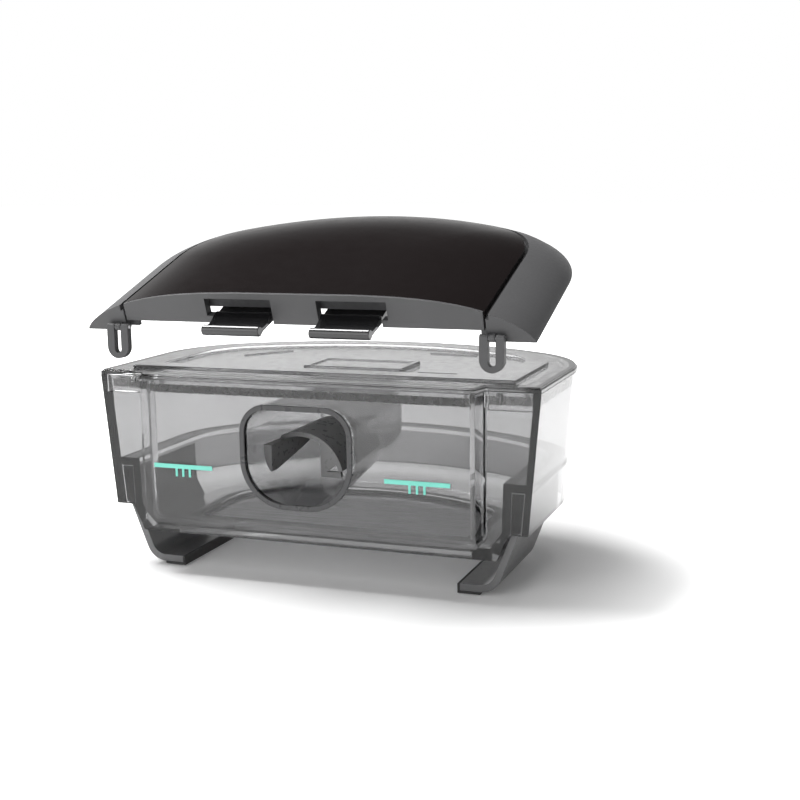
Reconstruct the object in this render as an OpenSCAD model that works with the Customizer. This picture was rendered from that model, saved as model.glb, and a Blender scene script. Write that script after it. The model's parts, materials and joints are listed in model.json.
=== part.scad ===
// Water tub of a bedside breathing-air humidifier, with its cover lifted off its snap loops.
// Millimetres, +Z up, -Y is the front with the air port. The outline is a D: a straight front,
// straight sides, round back corners and a shallow round back.

/* [Tub] */
// Width of the tub across its rim
tub_w = 138; // [130:1:160]
// Depth from the front flange to the back of the rim
tub_d = 84; // [80:1:100]
// Height of the tub's rim above the surface it stands on
rim_z = 58.8; // [56:0.1:75]
// Length of the straight stretch of each side
side_y = 38; // [30:1:42]
// Radius of the two back corners in plan
corner_r = 36; // [28:1:38]
// Thickness of the clear walls
wall = 2.4; // [1.8:0.1:3]
// How far the side walls lean in over the height of the skirt
side_lean = 3.6; // [0:0.1:5]
// Height of the skirt's lower edge
skirt_z = 18.8; // [15:0.1:22]
// Height of the ledge where the water chamber narrows
ledge_z = 33; // [30:0.5:36]
// Width of that ledge
ledge_w = 8.4; // [7:0.1:11]
// Height of the chamber's underside
floor_z = 11; // [9:0.1:13]
// Thickness of the chamber's floor
floor_t = 3; // [2.6:0.1:4]
// How far the chamber's lowest part leans in below the skirt
toe_in = 3.6; // [0:0.1:5]

/* [Front bay] */
// Width of the front flange beside the bay, down to the bay's front face
flange_w = 17; // [15:0.5:25]
// How far the bay stands out of the front flange
bay_out = 5.9; // [3:0.1:8]
// How much wider the bay is at the flange than at its face, on each side
bay_flare = 1.6; // [0.5:0.1:2]
// Height of the bay's lower edge
bay_z = 15.4; // [14:0.1:18]
// Bevel of the bay's two lower corners
bay_bevel = 2.6; // [0:0.1:4]

/* [Air port] */
// Sideways place of the port's middle
port_x = -1.5; // [-8:0.5:8]
// Width of the port's opening
port_w = 32; // [24:0.5:40]
// Height of the port's upper edge
port_top = 51.6; // [48:0.1:52]
// Height of the port's lower edge
port_bottom = 24.2; // [20:0.1:28]
// Radius of the port's upper corners
port_top_r = 7; // [3:0.5:10]
// Radius of the port's lower corners
port_low_r = 12.5; // [6:0.5:13]
// Width of the dark ring round the port
ring_w = 1.6; // [0.8:0.1:2.4]
// How far the ring stands out of the bay
ring_out = 0.7; // [0.3:0.1:2]
// Wall of the air tunnel
tunnel_wall = 1.2; // [0.8:0.1:2.2]
// How far the tunnel reaches into the tub
tunnel_l = 54; // [35:1:60]
// Rise of the tunnel's floor over that length
tunnel_rise = 8; // [4:0.5:10]
// How much narrower the tunnel is at its end, on each side
tunnel_taper = 2.5; // [0:0.1:4]
// Depth at which the flow divider's vault starts in the tunnel
divider_y = 15; // [10:1:30]
// Length of the vault
vault_l = 28; // [15:1:30]

/* [Lid] */
// Thickness of the clear lid
lid_t = 1.6; // [1.2:0.1:2.4]
// Depth of the lid's plug rim below the tub's rim
plug_depth = 4.2; // [3:0.1:5]
// Thickness of the plug rim
plug_t = 1.4; // [1:0.1:2]
// Free gap between the seal and the tub's wall
seal_gap = 0.25; // [0.2:0.05:0.5]
// Thickness of the seal in plan
seal_t = 1.1; // [0.8:0.1:1.6]
// Height of the seal
seal_h = 2.2; // [1.5:0.1:3]
// Distance of the lid's raised band from the outline
band_in = 8.6; // [7:0.1:11]
// Width of the raised band
band_w = 7; // [4:0.5:10]
// Height of the raised band
band_h = 1; // [0.5:0.1:1.4]
// Length of the raised pad on the lid
pad_l = 31; // [20:1:40]
// Width of the raised pad on the lid
pad_w = 17; // [10:1:22]
// Sideways place of the pad's middle
pad_x = 7.5; // [-20:0.5:20]
// Depth of the pad's middle
pad_y = 23.5; // [20:0.5:40]

/* [Catches] */
// Distance of the two snap loops, and of the nubs they hang on, from the tub's side
loop_in = 11.6; // [7:0.1:13]
// Width of a snap loop
loop_w = 7; // [6:0.1:8]
// Width of the slot in a loop
slot_w = 2.2; // [1.8:0.1:3]
// Thickness of a loop
loop_t = 2.1; // [1.2:0.1:2.4]
// Length of a loop below its pin
loop_l = 9.3; // [8:0.1:12]
// Length of the slot below the pin
slot_l = 7.6; // [5:0.1:7.8]
// Radius of the loop's hinge pin
pin_r = 0.5; // [0.4:0.05:0.6]
// Height of the pin above the cover's lower edge
pin_z = 1.6; // [1.5:0.1:2]
// Free gap between a loop and the front flange
loop_gap = 0.3; // [0.2:0.05:0.5]
// Height of a nub
nub_h = 3.2; // [1.5:0.1:3.6]
// How far a nub stands out
nub_out = 1.1; // [0.6:0.1:2]
// Height of a lid tab that carries a nub
tab_h = 5; // [4:0.1:6]
// Thickness of a lid tab
tab_t = 1.2; // [0.8:0.1:1.6]

/* [Cover] */
// Height of the cover's crown above its lower edge
cover_h = 12.7; // [10:0.1:18]
// Thickness of the cover's outer shell
shell_t = 2.4; // [1.8:0.1:3]
// Thickness of the glossy panel
panel_t = 1.6; // [1.2:0.1:2]
// Distance of the glossy panel's side from the tub's side
panel_in = 13.8; // [12:0.1:21]
// Distance of the glossy panel's back edge from the tub's back
panel_back = 10; // [6:0.5:18]
// Radius of the glossy panel's back corners
panel_r = 33.5; // [26:0.5:34]
// Width of the groove between panel and rim
groove = 1.2; // [0.6:0.1:1.6]
// Height of the front band's lower edge
band_z = 3.2; // [2:0.1:4]
// Thickness of the front band
band_t = 2.8; // [2:0.1:3.5]
// How far the rest pose holds the cover up from its closed seat
lift_up = 12.2; // [4:0.1:30]
// How far the rest pose holds the cover forward of its closed seat
lift_forward = 5.4; // [2:0.1:12]
// Tilt of the cover in the rest pose, back edge up
cover_tilt = 19; // [0:0.5:30]

/* [Latch tongues] */
// Inner end of a tongue, from the middle of the cover
tongue_in = 7.6; // [6:0.1:10]
// Outer end of a tongue, from the middle of the cover
tongue_out = 25.4; // [20:0.1:30]
// How far a tongue's lip reaches in front of the cover
tongue_reach = 9.1; // [6:0.1:12]
// Radius of the tongue's lip
lip_r = 1.5; // [1:0.1:1.8]
// Thickness of the tongue
tongue_t = 1.9; // [1.4:0.1:2.4]
// Depth of the tongue's pivot behind the cover's face
pivot_y = 13.5; // [11:0.1:16]
// Height of the tongue's pivot above the cover's lower edge
pivot_z = 4.6; // [4.4:0.1:5]
// Radius of the pivot pin
pivot_r = 0.75; // [0.6:0.05:0.9]
// Free room between a tongue and its window
window_gap = 0.6; // [0.4:0.1:1]
// Height of the windows' upper edge
window_top = 10.7; // [9.5:0.1:11]
// Height of the sill beside a tongue
sill_z = 5.3; // [4.8:0.1:6]
// Room beside a tongue above the sill
window_side = 2.4; // [1:0.1:3]

/* [Feet] */
// Thickness of a rail
rail_t = 2.1; // [1.6:0.1:2.5]
// Gap between a rail and the chamber's wall at the skirt's lower edge
rail_gap = 0.3; // [0.25:0.05:0.8]
// Distance of the foot's bend from the tub's side
foot_in = 18.2; // [16:0.1:23]
// Width of the foot's flat
foot_w = 6.9; // [5:0.1:12]
// Radius of the bend above the foot
bend_r = 6.5; // [5:0.1:8]
// Thickness of the rubber shoe round the foot
shoe_t = 0.8; // [0.6:0.1:1]
// Gap between a rail's top and the ledge above it
rail_top_gap = 0.3; // [0.2:0.1:8]
// Thickness of the web that closes the room beside a rail at the front
web_t = 1.4; // [1:0.1:3]
// Length of a rail, front to back
rail_l = 36; // [25:1:38]

/* [Heater plate] */
// Distance of the plate's edge from the chamber's underside outline
plate_in = 9; // [6:0.5:12]
// Thickness of the plate
plate_t = 1; // [0.8:0.1:1.4]
// Width of the seal round the plate
plate_seal_w = 3; // [2:0.1:4]

/* [Level marks] */
// Height of the level marks
mark_z = 33.2; // [30:0.1:45]
// Length of a level mark
mark_l = 19.4; // [10:0.2:24]
// Height of a level mark
mark_h = 1.3; // [0.8:0.1:2]
// Distance from the port's middle to the middle of a mark
mark_x = 36.8; // [30:0.1:40]
// Thickness of the marks' coat
mark_t = 0.3; // [0.2:0.05:0.5]

/* [Hidden] */

over = 0.5;             // how far a cut runs past a face
fit_gap = 0.15;         // gap between fitted pieces that don't move
run_gap = 0.05;         // radial clearance of a pin that turns
arc_steps = 10;         // steps along each round corner of an outline

bay_half = tub_w / 2 - flange_w;    // half width of the bay at its front face
loop_x = tub_w / 2 - loop_in;       // sideways place of the loops and nubs
panel_half = tub_w / 2 - panel_in;  // half width of the glossy panel
panel_d = tub_d - panel_back;       // depth of the panel's back edge
foot_x = tub_w / 2 - foot_in;       // where the foot's flat begins
toe_x = foot_x - foot_w;            // inner edge of the foot

lid_top = rim_z + lid_t;
seat_gap = 0.2;                     // gap between lid and closed cover
closed_z = lid_top + seat_gap;      // height of the closed cover's lower edge
pin_y = -loop_gap - loop_t / 2;     // depth of the loop pins on the closed cover
lift_l = norm([lift_forward, lift_up]);

// Depth and height of the cover's origin in the rest pose
rest_y = -lift_forward + pin_y - pin_y * cos(cover_tilt) + pin_z * sin(cover_tilt);
rest_z = closed_z + lift_up + pin_z - pin_y * sin(cover_tilt) - pin_z * cos(cover_tilt);

// Middle of the tongue's lip
lip_y = -tongue_reach + lip_r;
lip_z = pivot_z;

// The front-most point is the tongue's lip and the rear-most is the rim's back
front_y = rest_y + lip_y * cos(cover_tilt) - lip_z * sin(cover_tilt) - lip_r;
mid_y = (front_y + tub_d) / 2;

// ---- outlines -------------------------------------------------------------------------

function arc(cx, cy, r, a0, a1) =
    [for (i = [0 : arc_steps]) let (a = a0 + (a1 - a0) * i / arc_steps) [cx + r * cos(a), cy + r * sin(a)]];

// Radius of the back that runs smoothly into corners of radius rc
function back_radius(half, side, rc, back) =
    let (a = half - rc, k = side - back) (rc * rc - a * a - k * k) / (2 * (k + rc));

// D outline: half width, length of the straight side, corner radius, back edge, front edge
function d_outline(half, side, rc, back, front = 0) =
    let (
        rb = back_radius(half, side, rc, back),
        cx = half - rc,
        a = atan2(side - back + rb, cx)
    )
    concat(
        [[-half, front], [half, front]],
        arc(cx, side, rc, 0, a),
        arc(0, back - rb, rb, a, 180 - a),
        arc(-cx, side, rc, 180 - a, 180)
    );

// The tub's own D, moved in by t on its sides and back
function tub_d_outline(t, front = 0) = d_outline(tub_w / 2 - t, side_y, corner_r - t, tub_d - t, front);

// The tub's D with the bay in front of it, moved in by t all round
function bay_shift(t) = t * (norm([bay_flare, bay_out]) - bay_flare) / bay_out;
function tub_outline(t) =
    let (
        d = tub_d_outline(t, t),
        face = bay_half - bay_shift(t),
        root = bay_half + bay_flare - bay_shift(t)
    )
    concat(
        [d[0], [-root, t], [-face, t - bay_out], [face, t - bay_out], [root, t]],
        [for (i = [1 : len(d) - 1]) d[i]]
    );

module slab(points, z0, z1) {
    translate([0, 0, z0]) linear_extrude(z1 - z0) polygon(points);
}

module ring(z0, z1, t0, t1) {
    difference() {
        slab(tub_outline(t0), z0, z1);
        slab(tub_outline(t1), z0 - over, z1 + over);
    }
}

// Solid between two D outlines at two heights
module d_loft(t0, z0, t1, z1, front = 0) {
    thin = 0.01;
    hull() {
        slab(tub_d_outline(t0, front), z0, z0 + thin);
        slab(tub_d_outline(t1, front), z1 - thin, z1);
    }
}

// Places a piece on both sides, as left and right
module side(s) {
    if (s > 0) children();
    else mirror([1, 0, 0]) children();
}

// Everything is drawn from the front flange and then moved to the middle of the footprint
module placed() {
    translate([0, -mid_y, 0]) children();
}

// Pieces drawn on the closed cover, moved to the rest pose
module on_cover() {
    placed() translate([0, rest_y, rest_z]) rotate([cover_tilt, 0, 0]) children();
}

// Pieces drawn on the closed loops, moved to the rest pose
module on_loops() {
    placed() translate([0, -lift_forward, closed_z + lift_up]) children();
}

// ---- tub ------------------------------------------------------------------------------

skirt_room = 5.6;                            // from the skirt's outside to the chamber's at that edge
skirt_in = side_lean;                        // how far in the skirt's lower edge is
ledge_in = side_lean * (rim_z - ledge_z) / (rim_z - skirt_z);
chamber_in = ledge_in + ledge_w;             // chamber's outside at the ledge
chamber_low_in = skirt_in + skirt_room;      // and at the skirt's lower edge
chamber_foot_in = chamber_low_in + toe_in;   // and at its underside

module chamber_outside() {
    d_loft(chamber_low_in, skirt_z, chamber_in - 2, ledge_z);
    d_loft(chamber_foot_in, floor_z, chamber_low_in, skirt_z);
}

module bay_outline_xz(t) {
    polygon([
        [-bay_half + t, rim_z + over], [-bay_half + t, bay_z + bay_bevel + t / 2],
        [-bay_half + bay_bevel + t / 2, bay_z + t], [bay_half - bay_bevel - t / 2, bay_z + t],
        [bay_half - t, bay_z + bay_bevel + t / 2], [bay_half - t, rim_z + over]
    ]);
}

// The bay is the plan outline's front part, cut to its bevelled front view
module bay_solid(t, y1) {
    intersection() {
        translate([0, y1, 0]) rotate([90, 0, 0]) linear_extrude(y1 + bay_out + over) bay_outline_xz(t - bay_flare);
        translate([0, 0, floor_z]) linear_extrude(rim_z - floor_z + (t > 0 ? over : 0))
            polygon([
                [-bay_half - bay_flare + bay_shift(t), y1], [-bay_half - bay_flare + bay_shift(t), t],
                [-bay_half + bay_shift(t), t - bay_out], [bay_half - bay_shift(t), t - bay_out],
                [bay_half + bay_flare - bay_shift(t), t], [bay_half + bay_flare - bay_shift(t), y1]
            ]);
    }
}

module rounded_port(grow) {
    hull() {
        for (s = [-1, 1]) {
            translate([port_x + s * (port_w / 2 - port_top_r), port_top - port_top_r]) circle(port_top_r + grow, $fn = 48);
            translate([port_x + s * (port_w / 2 - port_low_r), port_bottom + port_low_r]) circle(port_low_r + grow, $fn = 64);
        }
    }
}

module port_plug(grow, y0, y1) {
    translate([0, y1, 0]) rotate([90, 0, 0]) linear_extrude(y1 - y0) rounded_port(grow);
}

plate_points = tub_d_outline(chamber_foot_in + plate_in, plate_in);
plate_hole = tub_d_outline(chamber_foot_in + plate_in + plate_seal_w, plate_in + plate_seal_w);
plate_room = tub_d_outline(chamber_foot_in + plate_in - fit_gap, plate_in - fit_gap);
seal_room_h = plate_t;      // the seal is as high as the plate is thick

module tub_base() {
    color([0.62, 0.63, 0.65, 0.45]) placed() difference() {
        union() {
            difference() {
                d_loft(skirt_in, skirt_z, 0, rim_z);
                // open room between the skirt and the chamber, and above the ledge the chamber's wall
                d_loft(skirt_in + wall, skirt_z - 1, wall, rim_z + over, wall);
            }
            difference() {
                chamber_outside();
                d_loft(chamber_low_in + wall, skirt_z, chamber_in - 2 + wall, ledge_z + over, wall);
                d_loft(chamber_foot_in + wall, floor_z + floor_t, chamber_low_in + wall, skirt_z + 0.01, wall);
            }
            // ledge that joins the chamber to the skirt
            difference() {
                slab(tub_d_outline(ledge_in + 0.4), ledge_z - wall, ledge_z);
                slab(tub_d_outline(chamber_in - 2 + wall / 2, wall), ledge_z - wall - over, ledge_z + over);
            }
            bay_solid(0, wall);
            tab_backing();
        }
        bay_solid(wall, wall + over);
        port_plug(tunnel_wall + fit_gap, -bay_out - over, wall - bay_out + over);
        for (s = [-1, 1]) tab_pocket(s);
        slab(plate_room, floor_z - over, floor_z + plate_t + seal_room_h);
        slab(plate_hole, floor_z, floor_z + floor_t + over);
    }
}

// Flange wall behind the lid's tabs, thick enough to leave a full wall
tab_x0 = bay_half + bay_flare + 0.4;
tab_x1 = tub_w / 2 - wall;
backing_t = 0.4;

module tab_backing() {
    for (s = [0, 1]) mirror([s, 0, 0])
        translate([tab_x0 - wall / 2, wall - 0.1, rim_z - tab_h - wall])
            cube([tab_x1 - tab_x0 + wall / 2, backing_t + 0.1, tab_h + wall]);
}

module tab_pocket(s) {
    side(s) translate([tab_x0 - fit_gap, -over, rim_z - tab_h - fit_gap])
        cube([tab_x1 - tab_x0 + 2 * fit_gap, tab_t + fit_gap + over, tab_h + 1]);
}

module port_ring() {
    color([0.2, 0.2, 0.21]) placed() difference() {
        port_plug(ring_w, -bay_out - ring_out, -bay_out);
        port_plug(0, -bay_out - ring_out - over, -bay_out + over);
    }
}

tunnel_y0 = -bay_out;      // its front lies behind the ring
tunnel_y1 = tunnel_y0 + tunnel_l;
nose_l = 6;         // rounded nose at the tunnel's end
nose_in = 4.5;      // how far the nose closes in, all round
end_top_r = 5;      // radii of the tunnel's corners at its end
end_low_r = 8;
thin = 0.02;        // thickness of a slice that a hull joins

// Slice of the tunnel at depth y, moved in by t all round
module tunnel_slice(y, t, grow) {
    half = port_w / 2 - tunnel_taper;
    translate([0, y + thin, 0]) rotate([90, 0, 0]) linear_extrude(thin) hull() for (s = [-1, 1]) {
        translate([port_x + s * (half - end_top_r), port_top - end_top_r])
            circle(end_top_r - t + grow, $fn = 32);
        translate([port_x + s * (half - end_low_r), port_bottom + tunnel_rise + end_low_r])
            circle(end_low_r - t + grow, $fn = 32);
    }
}

// Solid as the tunnel's inside, grown by grow; its front runs on by y_grow
module tunnel_body(grow, y_grow = 0) {
    bend_y = tunnel_y1 - nose_l;
    hull() {
        port_plug(grow, tunnel_y0 - y_grow, tunnel_y0 + thin);
        tunnel_slice(bend_y, 0, grow);
    }
    hull() {
        tunnel_slice(bend_y, 0, grow);
        tunnel_slice(tunnel_y1 - tunnel_wall + grow, nose_in, grow);
    }
}

outlet_w = 20;      // opening in the tunnel's top, where air enters the tub
outlet_l = 13;

module air_tunnel() {
    color([0.42, 0.42, 0.43, 0.7]) placed() difference() {
        tunnel_body(tunnel_wall);
        tunnel_body(0, over);
        translate([port_x - outlet_w / 2, tunnel_y1 - nose_l - outlet_l - 3, port_top - 2]) cube([outlet_w, outlet_l, 8]);
    }
}

// Flow divider: a low vault that runs back in the tunnel from its left wall, with a web down
// to the tunnel's floor under its right leg and a thick sill along the left wall
vault_t = 1.4;
vault_r = 14.2;         // outside radius
vault_x = -8.5;         // its middle from the port's middle
vault_low = 2.8;        // its middle above the port's lower edge
vault_a0 = 12;          // angles where it ends, from the right
vault_a1 = 128;
sill_w = 3.2;           // sill along the left wall
sill_h = 8;
sill_up = 4;            // its underside above the vault's middle
sill_front = 4.5;       // depth where it starts
web_in = 6.8;           // left edge of the web, from the vault's middle
vent_in = 1.9;          // three-sided vent in the web
vent_up = 2.5;
vent_w = 4.2;
vent_h = 3;

module fan(a0, a1, r) {
    polygon(concat([[0, 0]], [for (i = [0 : 24]) let (a = a0 + (a1 - a0) * i / 24) r * [cos(a), sin(a)]]));
}

module flow_divider() {
    color([0.25, 0.25, 0.26]) placed() intersection() {
        tunnel_body(-fit_gap);
        translate([port_x + vault_x, 0, port_bottom + vault_low]) {
            translate([0, divider_y + vault_l, 0]) rotate([90, 0, 0]) linear_extrude(vault_l) difference() {
                fan(vault_a0, vault_a1, vault_r);
                circle(vault_r - vault_t, $fn = 64);
            }
            translate([0, divider_y + vault_t, 0]) rotate([90, 0, 0]) linear_extrude(vault_t) difference() {
                intersection() {
                    circle(vault_r - vault_t / 2, $fn = 64);
                    translate([web_in, -vault_r]) square([vault_r, 2 * vault_r]);
                }
                translate([web_in + vent_in, vent_up]) polygon([[0, 0], [vent_w, 0], [vent_w, vent_h]]);
            }
            translate([-port_w / 2 - vault_x - over, sill_front, sill_up])
                cube([sill_w + over, divider_y + vault_l - sill_front, sill_h]);
        }
    }
}

module heater_plate() {
    color([0.75, 0.76, 0.78]) placed() slab(plate_points, floor_z, floor_z + plate_t);
}

module plate_seal() {
    color([0.15, 0.15, 0.15]) placed() difference() {
        slab(plate_points, floor_z + plate_t, floor_z + plate_t + seal_room_h);
        slab(plate_hole, floor_z, floor_z + floor_t);
    }
}

// ---- rails and feet -------------------------------------------------------------------

// Sideways place of the chamber's side wall, outside, at height z above the skirt's lower edge
function chamber_x(z) = tub_w / 2 - chamber_low_in
    - (chamber_in - 2 - chamber_low_in) * (z - skirt_z) / (ledge_z - skirt_z);
// Sideways place of the skirt's side wall, inside, at height z
function skirt_x(z) = tub_w / 2 - wall - side_lean * (rim_z - z) / (rim_z - skirt_z);

// Middle of the rail's bend, its top and the angle of its upright part
bend_c = [foot_x, shoe_t + bend_r];
rail_top_x = chamber_x(skirt_z) + rail_gap + rail_t;
rail_top_z = ledge_z - wall - rail_top_gap;
rail_run = [rail_top_x - foot_x, skirt_z - shoe_t - bend_r];
rail_a = atan2(rail_run[0], rail_run[1]) - asin(bend_r / norm(rail_run));

// Points of the rail's front view at distance t inside its outer face
function rail_edge(t) = concat(
    [[toe_x + shoe_t, shoe_t + t], [foot_x, shoe_t + t]],
    [for (i = [1 : 8]) let (a = -90 + (90 - rail_a) * i / 8) bend_c + (bend_r - t) * [cos(a), sin(a)]],
    [[rail_top_x - t / cos(rail_a), skirt_z]],
    [[chamber_x(rail_top_z) + fit_gap + rail_t - t, rail_top_z]]
);
function reversed(v) = [for (i = [len(v) - 1 : -1 : 0]) v[i]];

module rail_shape() {
    polygon(concat(rail_edge(0), reversed(rail_edge(rail_t))));
}

// Web that closes the room between the chamber and the skirt
module web_shape() {
    low = skirt_z + fit_gap;
    polygon([
        [chamber_x(rail_top_z) + rail_gap, rail_top_z], [skirt_x(rail_top_z) - fit_gap, rail_top_z],
        [skirt_x(low) - fit_gap, low], [rail_top_x - rail_t / 2, low]
    ]);
}

module rail(s) {
    color([0.5, 0.51, 0.52, 0.6]) placed() side(s) {
        translate([0, rail_l + wall, 0]) rotate([90, 0, 0]) linear_extrude(rail_l) rail_shape();
        translate([0, web_t + wall, 0]) rotate([90, 0, 0]) linear_extrude(web_t) web_shape();
    }
}

module foot_shoe(s) {
    color([0.08, 0.08, 0.08]) placed() side(s) {
        translate([toe_x, wall, 0]) cube([foot_w, rail_l, shoe_t]);
        translate([toe_x, wall, 0]) cube([shoe_t, rail_l, shoe_t + rail_t]);
    }
}

// ---- level marks ----------------------------------------------------------------------

tick_l = 2.4;   // short ticks below the bar
tick_w = 0.7;
tick_gap = 2.2;

module level_mark(s) {
    color([0.43, 0.82, 0.74]) placed() translate([port_x + s * mark_x, -bay_out - mark_t, mark_z]) {
        translate([-mark_l / 2, 0, -mark_h / 2]) cube([mark_l, mark_t, mark_h]);
        for (i = [-1 : 1]) translate([i * tick_gap - tick_w / 2, 0, -mark_h / 2 - tick_l]) cube([tick_w, mark_t, tick_l + 0.1]);
    }
}

// ---- lid ------------------------------------------------------------------------------

seal_in = wall + seal_gap + side_lean * plug_depth / (rim_z - skirt_z);
plug_in = seal_in + seal_t;
edge_step = 0.5;        // stepped bevel of the lid's upper edge

module pad_block(l, w, z0, z1) {
    translate([pad_x - l / 2, pad_y - w / 2, z0]) cube([l, w, z1 - z0]);
}

// Raised line on the lid between two points
module lid_rib(p0, p1) {
    d = p1 - p0;
    translate([p0[0], p0[1], lid_top - 0.2]) rotate([0, 0, atan2(d[1], d[0])])
        translate([0, -0.4, 0]) cube([norm(d), 0.8, 0.7]);
}

module lid_tab(s) {
    side(s) translate([tab_x0, 0, rim_z - tab_h]) cube([tab_x1 - tab_x0, tab_t, tab_h + 0.1]);
}

// Wedge that a loop drops over; its underside follows the way the loop leaves
nub_w = slot_w - 0.6;
nub_z = closed_z + pin_z - slot_l + 0.3;      // lower edge of the nub, just above the slot's end

module nub(s) {
    rise = min(nub_out * lift_up / lift_forward, nub_h - 0.4);
    translate([s * loop_x - nub_w / 2, 0, 0]) rotate([90, 0, 90]) linear_extrude(nub_w)
        polygon([[0.2, nub_z], [0, nub_z], [-nub_out, nub_z + rise], [-nub_out, nub_z + nub_h], [0.2, nub_z + nub_h + 0.5]]);
}

module tank_lid() {
    color([0.72, 0.73, 0.75, 0.4]) placed() {
        difference() {
            union() {
                slab(tub_outline(0), rim_z, lid_top - edge_step);
                slab(tub_outline(edge_step), rim_z, lid_top);
                slab(tub_d_outline(band_in, band_in - 4), rim_z, lid_top + band_h);
                ring(rim_z - plug_depth, rim_z + 0.1, plug_in, plug_in + plug_t);
                for (s = [-1, 1]) {
                    lid_tab(s);
                    nub(s);
                }
            }
            slab(tub_d_outline(band_in + band_w, band_in + band_w - 4), lid_top + 0.1, lid_top + 4);
        }
        difference() {
            pad_block(pad_l, pad_w, lid_top - 0.3, lid_top + 1.3);
            pad_block(pad_l - 3, pad_w - 3, lid_top + 0.9, lid_top + 4);
        }
        lid_rib([-39, tub_d - 47], [-28, tub_d - 34]);
        lid_rib([18, tub_d - 28], [34, tub_d - 30]);
        lid_rib([28, 16], [40, 16]);
        lid_rib([-40, 14], [-22, 14]);
    }
}

module lid_seal() {
    color([0.22, 0.22, 0.23]) placed()
        ring(rim_z - plug_depth + 0.4, rim_z - plug_depth + 0.4 + seal_h, seal_in, plug_in);
}

// ---- snap loops -----------------------------------------------------------------------

end_r = loop_w / 2;
slot_end_r = slot_w / 2;

module snap_loop(s) {
    color([0.45, 0.46, 0.47]) on_loops() translate([s * loop_x, pin_y, pin_z]) difference() {
        union() {
            translate([0, loop_t / 2, 0]) rotate([90, 0, 0]) linear_extrude(loop_t) difference() {
                union() {
                    translate([-loop_w / 2, -loop_l + end_r]) square([loop_w, loop_l - end_r]);
                    translate([0, -loop_l + end_r]) circle(end_r, $fn = 64);
                }
                translate([-slot_w / 2, -slot_l + slot_end_r]) square([slot_w, slot_l + loop_t]);
                translate([0, -slot_l + slot_end_r]) circle(slot_end_r, $fn = 32);
            }
            loop_barrel(loop_t / 2);
        }
        translate([-slot_w / 2, -loop_t, -loop_t]) cube([slot_w, 2 * loop_t, 2 * loop_t]);
        loop_barrel(pin_r);
    }
}

// Round bar along the loop's hinge
module loop_barrel(r) {
    translate([-loop_w / 2, 0, 0]) rotate([0, 90, 0]) cylinder(r = r, h = loop_w, $fn = 48);
}

module loop_pin(s) {
    color([0.7, 0.7, 0.72]) on_loops() translate([s * loop_x - loop_w / 2, pin_y, pin_z])
        rotate([0, 90, 0]) cylinder(r = pin_r, h = loop_w, $fn = 48);
}

// ---- cover ----------------------------------------------------------------------------

// Outline of the cover at distance d inside its lower edge
function cover_slice(d, front) =
    let (
        half = tub_w / 2 - d,
        back = tub_d - d,
        rc = max(corner_r - d, half / 2),
        side = min(side_y, back - 1.27 * rc)
    )
    d_outline(half, side, rc, back, front);

// Height of the crowned top at distance d inside the lower edge
function crown(d) = cover_h * pow(1 - pow(1 - d / (tub_w / 2), 3.7), 0.7);

// Crowned body, moved in by t and down by drop
module crowned(t = 0, drop = 0, front = 0) {
    hull() for (d = [0, 0.5, 1.6, 3.6, 7, 12, 19, 30, 44])
        slab(cover_slice(d + t, front), -0.01 - drop, max(crown(d), 0.01) - drop);
}

panel_side = side_y + 1;
panel_front = 1;
function panel_points(t, front) =
    d_outline(panel_half - t, panel_side, panel_r - t, panel_d - t, front);

ledge_t = 3.2;          // width of the rim's ledge below the panel
seam = 0.3;             // half the seam between front band and rim
backing_w = 4.4;        // block of the rim behind the seam
backing_d = 1.2;
backing_h = 6;

module cover_rim() {
    color([0.42, 0.42, 0.43]) on_cover() {
        difference() {
            crowned();
            crowned(shell_t, panel_t + shell_t, shell_t);
            // room for the panel, and the open middle that the liner closes
            difference() {
                slab(panel_points(-groove, -over), -1, cover_h + over);
                crowned(0, panel_t + fit_gap, -1);
            }
            slab(panel_points(ledge_t, -over), -2, cover_h + over);
            translate([-panel_half - seam, -over, -2]) cube([2 * (panel_half + seam), band_t + fit_gap + over, cover_h + 4]);
        }
        for (s = [-1, 1]) {
            rim_lug(s);
            side(s) translate([panel_half - backing_w / 2, band_t + fit_gap, fit_gap])
                cube([backing_w, backing_d, backing_h]);
        }
    }
}

// Lug between a loop's arms that turns on the loop's pin
lug_w = slot_w - 0.5;

module rim_lug(s) {
    translate([s * loop_x - lug_w / 2, 0, pin_z]) difference() {
        union() {
            translate([0, pin_y, 0]) rotate([0, 90, 0]) cylinder(r = loop_t / 2, h = lug_w, $fn = 48);
            translate([0, pin_y, -loop_t / 2]) cube([lug_w, -pin_y + 0.2, loop_t]);
        }
        translate([-1, pin_y, 0]) rotate([0, 90, 0]) cylinder(r = pin_r + run_gap, h = lug_w + 2, $fn = 48);
    }
}

module window(s) {
    side(s) {
        translate([tongue_in - window_gap, -1, sill_z])
            cube([tongue_out - tongue_in + window_gap + window_side, band_t + 2, window_top - sill_z]);
        translate([tongue_in - window_gap, -1, -1])
            cube([tongue_out - tongue_in + 2 * window_gap, band_t + 2, sill_z + 2]);
    }
}

module cover_front_band() {
    color([0.42, 0.42, 0.43]) on_cover() difference() {
        intersection() {
            crowned();
            translate([-panel_half + seam, 0, band_z]) cube([2 * (panel_half - seam), band_t, cover_h]);
        }
        difference() {
            translate([-tub_w / 2, panel_front - fit_gap, 0]) cube([tub_w, band_t + over, cover_h + 1]);
            crowned(0, panel_t + fit_gap, -1);
        }
        for (s = [-1, 1]) window(s);
    }
}

module cover_panel() {
    color([0.13, 0.12, 0.12]) on_cover() difference() {
        intersection() {
            crowned();
            slab(panel_points(0, panel_front), 0, cover_h + 1);
        }
        crowned(0, panel_t, -1);
    }
}

liner_t = 1.5;
lug_t = 2;
blind_z = 7;            // lower edge of the wall behind each window
blind_side = 3.2;       // how far that wall runs on beside a tongue

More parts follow.
